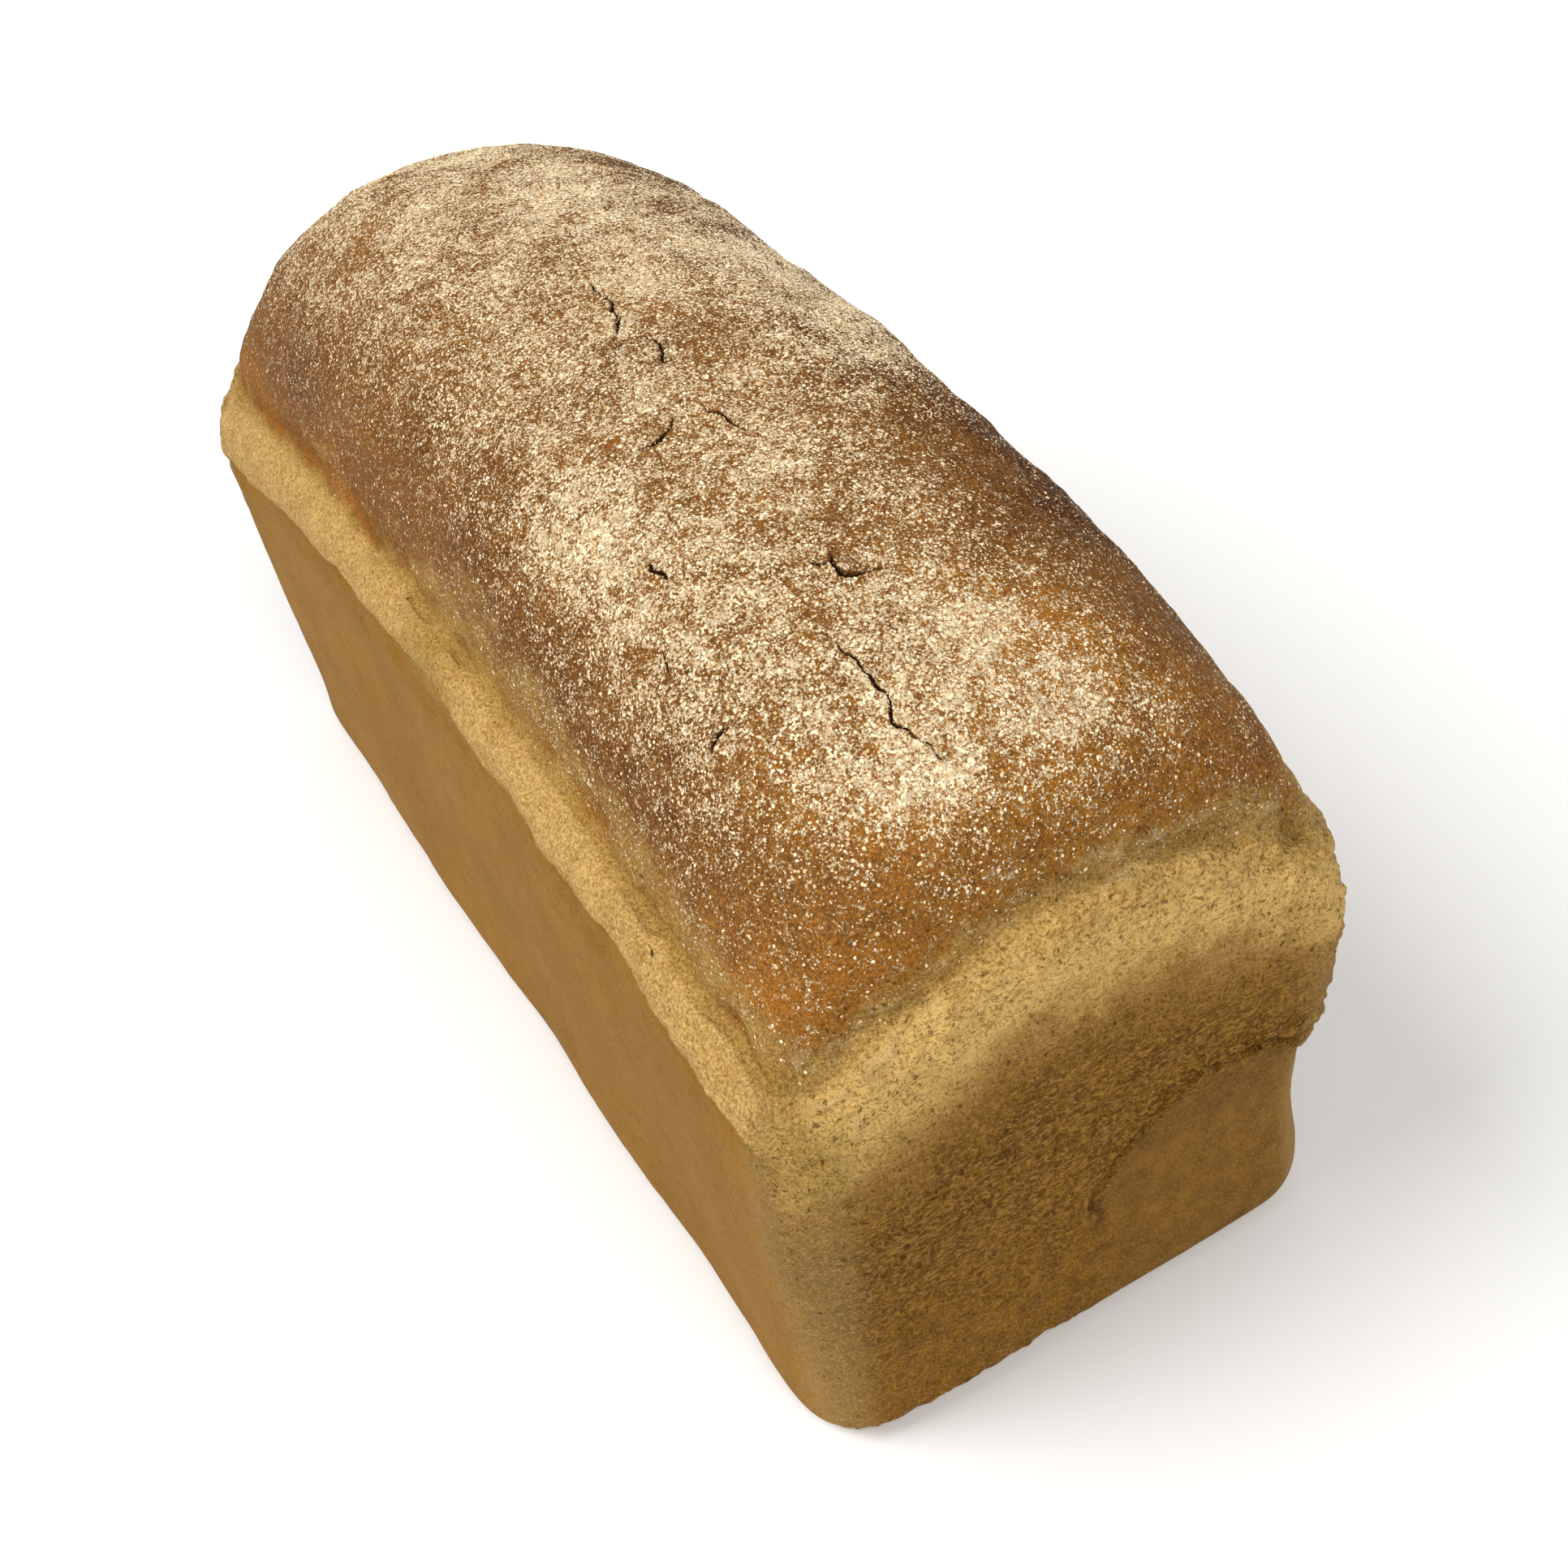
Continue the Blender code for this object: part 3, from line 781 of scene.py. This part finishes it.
def specks(material, coords, spacing, share, size):
    """Separate ragged specks; share is the part of the cells that has one."""
    wobble = add_node(material, "ShaderNodeTexNoise",
                      {"Vector": coords, "Scale": 1.8 / spacing, "Detail": 1.0}, "Color")
    place = add_node(material, "ShaderNodeVectorMath",
                     {0: wobble, 1: (1.1 * spacing,) * 3, 2: coords}, operation="MULTIPLY_ADD")
    cells = {"Vector": place, "Scale": 1.0 / spacing}
    from_middle = add_node(material, "ShaderNodeTexVoronoi", cells, "Distance")
    cell_colour = add_node(material, "ShaderNodeTexVoronoi", cells, "Color")
    inside = add_node(material, "ShaderNodeMapRange",
                      {"Value": from_middle, "From Min": size, "From Max": size * 0.7},
                      interpolation_type="SMOOTHSTEP")
    draw = add_node(material, "ShaderNodeSeparateColor", {0: cell_colour})
    chosen = add_node(material, "ShaderNodeMath", {0: draw, 1: share}, operation="LESS_THAN")
    return add_node(material, "ShaderNodeMath", {0: inside, 1: chosen}, operation="MULTIPLY")


def wall_colour(material, patterns, stored):
    """Where the tin held the dough: smooth and tan on the long sides, and torn into
    short fibres on the ends, but for the smooth panel."""
    slow, blotch, grain, fine, fibre = (
        patterns[name] for name in ("slow", "blotch", "grain", "fine", "fibre"))
    rough = stored["rough"]
    side = lay_colours(material, "#A27428", (
        (slow, 0.35, 0.65, 0.7, None, "#94681E"), (blotch, 0.50, 0.72, 0.3, None, "#7A5416"),
        (grain, 0.52, 0.68, 0.35, None, "#BC8C42"),
        (fine, 0.47, 0.34, 0.45, None, "#77500F")))
    # On the torn end the fine and fibre layers are partly the crust's grain and partly painted light
    # and shade: pale fibre tops as painted highlight, dark gaps as painted shade.
    end = lay_colours(material, "#91641A", (
        (blotch, 0.35, 0.65, 1.0, None, "#7A5114"), (fine, 0.50, 0.62, 0.5, None, "#B88A42"),
        (fine, 0.50, 0.38, 0.5, None, "#56360F"), (fibre, 0.51, 0.60, 0.75, rough, "#BF8F42"),
        (fibre, 0.47, 0.37, 0.75, rough, "#52340F")))
    panel = lay_colours(material, "#895F24", (
        (blotch, 0.30, 0.70, 1.0, None, "#6F4B18"), (fine, 0.45, 0.60, 0.3, None, "#B08A48")))
    wall = lay_colours(material, end, (
        (stored["panel"], 0.0, 1.0, 0.85, None, panel),))
    return lay_colours(material, side, (
        (stored["at_end"], 0.0, 1.0, 1.0, None, wall),
        (stored["pale_edge"], 0.0, 1.0, 0.5, None, "#B08D50"),
        (fine, 0.50, 0.64, 0.5, stored["pale_edge"], "#C8AE78")))


def dough_colour(material, patterns, stored, wall):
    """Stretched dough at the roll: pale, olive where the brown crust meets it, and
    turning to the wall's colour down the ends."""
    blotch, grain, fine, fibre = (patterns[name] for name in ("blotch", "grain", "fine", "fibre"))
    olive = lay_colours(material, "#8C692B", ((fine, 0.38, 0.62, 1.0, None, "#BA944C"),))
    tin = add_node(material, "ShaderNodeMath", {0: fibre, 1: 2.0, 2: stored["tin"]},
                   operation="MULTIPLY_ADD")
    tin = add_node(material, "ShaderNodeMath", {0: tin, 1: 1.0}, operation="SUBTRACT")
    return lay_colours(material, "#C39C5B", (
        (stored["at_end"], 0.0, 1.0, 0.8, None, "#B4822F"),
        # Painted light, partly pale dough: the roll's top on the ends is brightened.
        (stored["pale_lit_roll_top"], 0.0, 1.0, 1.0, None, "#FFD27C"),
        (fine, 0.50, 0.62, 0.6, None, "#F2CE85"), (fine, 0.48, 0.36, 0.7, None, "#98661F"),
        (grain, 0.46, 0.34, 0.5, None, "#8A5A1C"),
        (blotch, 0.50, 0.72, 0.4, None, "#A07430"), (blotch, 0.44, 0.28, 0.4, None, "#E6BE74"),
        # Fibre tops and gaps on the ends: partly the dough's grain, partly painted highlight and
        # painted shade.
        (fibre, 0.52, 0.62, 0.6, stored["at_end"], "#F1CC84"),
        (fibre, 0.47, 0.37, 0.6, stored["at_end"], "#8E5D1E"),
        (tin, 0.1, 0.9, 1.0, None, wall), (stored["olive"], 0.0, 1.0, 0.75, None, olive),
        # Crests of the raised wrinkles: partly paler dry dough, partly a painted highlight.
        (stored["ridge"], 0.0, 1.0, 0.3, None, "#E6CB93")))


def dome_colour(material, patterns, stored):
    """The brown skin of the dome, deepest down its right side."""
    grain, fine = patterns["grain"], patterns["fine"]
    deep = add_node(material, "ShaderNodeMath", {0: grain, 1: 1.1, 2: stored["deep"]},
                    operation="MULTIPLY_ADD")
    return lay_colours(material, "#A86C24", (
        (deep, 0.55, 0.97, 1.0, None, "#7F5223"), (deep, 0.97, 1.55, 1.0, None, "#4A230A"),
        (fine, 0.50, 0.40, 0.40, None, "#4E2A0C"), (fine, 0.52, 0.63, 0.50, None, "#C48A42")))


def flour_coats(material, patterns, flour):
    """Shares of the two coats of flour: a thin golden one, and the white lace over it."""
    lace = add_node(material, "ShaderNodeMath", {0: patterns["clumps"], 1: 0.3},
                    operation="MULTIPLY")
    lace = add_node(material, "ShaderNodeMath", {0: patterns["lace"], 1: 0.7, 2: lace},
                    operation="MULTIPLY_ADD")
    coats = []
    for at_none, at_most, softness in ((0.61, 0.43, 0.03), (0.605, 0.498, 0.015)):
        level = add_node(material, "ShaderNodeMapRange",
                         {"Value": flour, "From Max": 0.7, "To Min": at_none,
                          "To Max": at_most})
        over = add_node(material, "ShaderNodeMath", {0: lace, 1: level}, operation="SUBTRACT")
        coats.append(add_node(material, "ShaderNodeMapRange",
                              {"Value": over, "From Min": -softness, "From Max": softness}))
    return coats


def crust_material():
    """Baked rye crust: a matt brown skin where it rose above the tin, pale stretched
    dough at the roll, and tan walls where the tin held it."""
    material = new_material("baked_rye_crust")
    coords = add_node(material, "ShaderNodeTexCoord", output="Object")
    stored = {name: add_node(material, "ShaderNodeAttribute", output="Fac", attribute_name=name)
              for name in STORED}
    along_fibres = add_node(material, "ShaderNodeVectorMath", {0: coords, 1: FIBRE_STRETCH},
                            operation="MULTIPLY")
    patterns = {}
    for name, spacing, detail, roughness in CRUST_PATTERNS:
        inputs = {"Vector": along_fibres if name == "fibre" else coords,
                  "Scale": 1.0 / (spacing * MM), "Detail": detail, "Roughness": roughness}
        patterns[name] = add_node(material, "ShaderNodeTexNoise", inputs, "Fac")
    bran = specks(material, coords, BRAN_SPACING, 0.15, 0.27)
    # Dark pits of the torn ends: painted shade in their hollows.
    shaded_pits = specks(material, coords, PIT_SPACING, 0.45, 0.26)
    golden, dusted = flour_coats(material, patterns, stored["flour"])
    floured = add_node(material, "ShaderNodeMapRange",
                       {"Value": stored["flour"], "From Min": 0.01, "From Max": 0.06})

    wall = wall_colour(material, patterns, stored)
    dough = dough_colour(material, patterns, stored, wall)
    dome = dome_colour(material, patterns, stored)
    colour = lay_colours(material, dough, (
        (stored["brown"], 0.0, 1.0, 1.0, None, dome),
        (bran, 0.0, 1.0, 0.55, None, "#743C10"),
        # Painted shade: dark pits on the torn ends, where their hollows lie in shade.
        (shaded_pits, 0.0, 1.0, 0.6, stored["rough"], "#52340F"),
        (golden, 0.0, 1.0, 0.7, stored["brown"], "#BE9564"),
        (dusted, 0.0, 1.0, 0.92, floured, "#DFC9A2"),
        # Painted shade: the crease over the panel and the trough behind the rim are darkened where the
        # overhanging dough shades them.
        (stored["crease"], 0.12, 0.85, 0.55, None, "#4A2D10"),
        # Painted shade: the cracks and open pores are darkened nearly to black, where their hollows
        # lie in shade.
        (stored["groove"], 0.35, 0.65, 0.92, None, "#241004")))

    roughness = add_node(material, "ShaderNodeMapRange",
                         {"Value": dusted, "To Min": 0.66, "To Max": 0.95})
    height = 0.0
    for pattern, amount in (
            (patterns["grain"], 0.9), (patterns["blotch"], 0.6), (patterns["fine"], 0.8),
            (patterns["fibre"], 1.6), (dusted, 0.25), (shaded_pits, -0.6), (bran, -0.35)):
        height = add_node(material, "ShaderNodeMath", {0: pattern, 1: amount, 2: height},
                          operation="MULTIPLY_ADD")
    tallest = add_node(material, "ShaderNodeMapRange",
                       {"Value": stored["rough"], "To Min": 0.5 * MM, "To Max": 1.2 * MM})
    bump = add_node(material, "ShaderNodeBump",
                    {"Strength": 0.85, "Distance": tallest, "Height": height})
    shader = add_node(material, "ShaderNodeBsdfPrincipled",
                      {"Base Color": colour, "Roughness": roughness, "Normal": bump,
                       "IOR": 1.45, "Metallic": 0.0, "Specular IOR Level": 0.1})
    add_node(material, "ShaderNodeOutputMaterial", {"Surface": shader})
    return material


def flour_material():
    """Dry rye flour: cream, dull powder, a little toasted here and there."""
    material = new_material("dry_rye_flour")
    coords = add_node(material, "ShaderNodeTexCoord", output="Object")
    toast = add_node(material, "ShaderNodeTexNoise",
                     {"Vector": coords, "Scale": 1.0 / TOAST_SPACING, "Detail": 2.0,
                      "Roughness": 0.55}, "Fac")
    colour = lay_colours(material, "#F4E4C2", ((toast, 0.42, 0.66, 1.0, None, "#D6B582"),))
    shader = add_node(material, "ShaderNodeBsdfPrincipled",
                      {"Base Color": colour, "Roughness": 0.95, "IOR": 1.45, "Metallic": 0.0,
                       "Specular IOR Level": 0.1})
    add_node(material, "ShaderNodeOutputMaterial", {"Surface": shader})
    return material


def floor_material():
    """Painted board: matt white, so it only catches the loaf's soft shadow."""
    material = new_material("matt_white_board")
    shader = add_node(material, "ShaderNodeBsdfPrincipled",
                      {"Base Color": "#F4F3F1", "Roughness": 0.9, "Specular IOR Level": 0.1})
    add_node(material, "ShaderNodeOutputMaterial", {"Surface": shader})
    return material


def add_camera():
    """The photograph's camera, rolled a little as it was held."""
    forward = Vector((math.cos(CAMERA_PITCH) * math.cos(CAMERA_YAW),
                      math.cos(CAMERA_PITCH) * math.sin(CAMERA_YAW),
                      math.sin(CAMERA_PITCH)))
    right = forward.cross(Vector((0.0, 0.0, 1.0))).normalized()
    up = right.cross(forward)
    rolled_right = right * math.cos(CAMERA_ROLL) + up * math.sin(CAMERA_ROLL)
    rolled_up = up * math.cos(CAMERA_ROLL) - right * math.sin(CAMERA_ROLL)
    data = bpy.data.cameras.new("photo_camera")
    data.sensor_width = SENSOR_WIDTH
    data.lens = FOCAL_LENGTH
    data.shift_x, data.shift_y = LENS_SHIFT
    camera = bpy.data.objects.new("photo_camera", data)
    bpy.context.scene.collection.objects.link(camera)
    axes = Matrix((rolled_right, rolled_up, -forward)).transposed()
    camera.matrix_world = Matrix.Translation(CAMERA_PLACE) @ axes.to_4x4()
    bpy.context.scene.camera = camera


def add_lamp(name, place, width, power):
    """A round soft lamp aimed at the loaf."""
    data = bpy.data.lights.new(name, "AREA")
    data.shape = "DISK"
    data.size = width
    data.energy = power
    lamp = bpy.data.objects.new(name, data)
    lamp.location = place
    direction = Vector(LAMP_TARGET) - Vector(place)
    lamp.rotation_euler = direction.to_track_quat("-Z", "Y").to_euler()
    bpy.context.scene.collection.objects.link(lamp)


def add_studio():
    """A matt white floor, two soft lamps and an even white sky."""
    bpy.ops.object.select_all(action="DESELECT")
    bpy.ops.mesh.primitive_plane_add(size=FLOOR_WIDTH, location=(0.0, 0.0, 0.0))
    floor = bpy.context.active_object
    floor.name = "studio_floor"
    floor.data.materials.append(floor_material())
    for lamp in LAMPS:
        add_lamp(*lamp)
    world = bpy.data.worlds.new("studio")
    world.use_nodes = True
    background = world.node_tree.nodes["Background"]
    background.inputs["Color"].default_value = (1.0, 1.0, 1.0, 1.0)
    background.inputs["Strength"].default_value = SKY_STRENGTH
    bpy.context.scene.world = world
    bpy.context.scene.view_settings.view_transform = "Standard"


def finish_piece(piece, material, replaces=None):
    """Give a piece its material and body, and hide the solid's node that it stands for, if any."""
    piece.data.materials.append(material)
    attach(piece, "root")
    if replaces:
        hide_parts(replaces)


def main():
    """Build the scene: camera, studio, crust and flour."""
    generator = np.random.default_rng(RANDOM_SEED)
    add_camera()
    add_studio()
    loaf, flour = make_loaf(generator)
    grains, flakes = make_flour(loaf, flour, generator)
    finish_piece(loaf, crust_material(), LOAF_NODE)
    powder = flour_material()
    finish_piece(grains, powder)
    finish_piece(flakes, powder)
    for piece in (loaf, grains, flakes):
        print(piece.name, len(piece.data.polygons), "faces")


main()
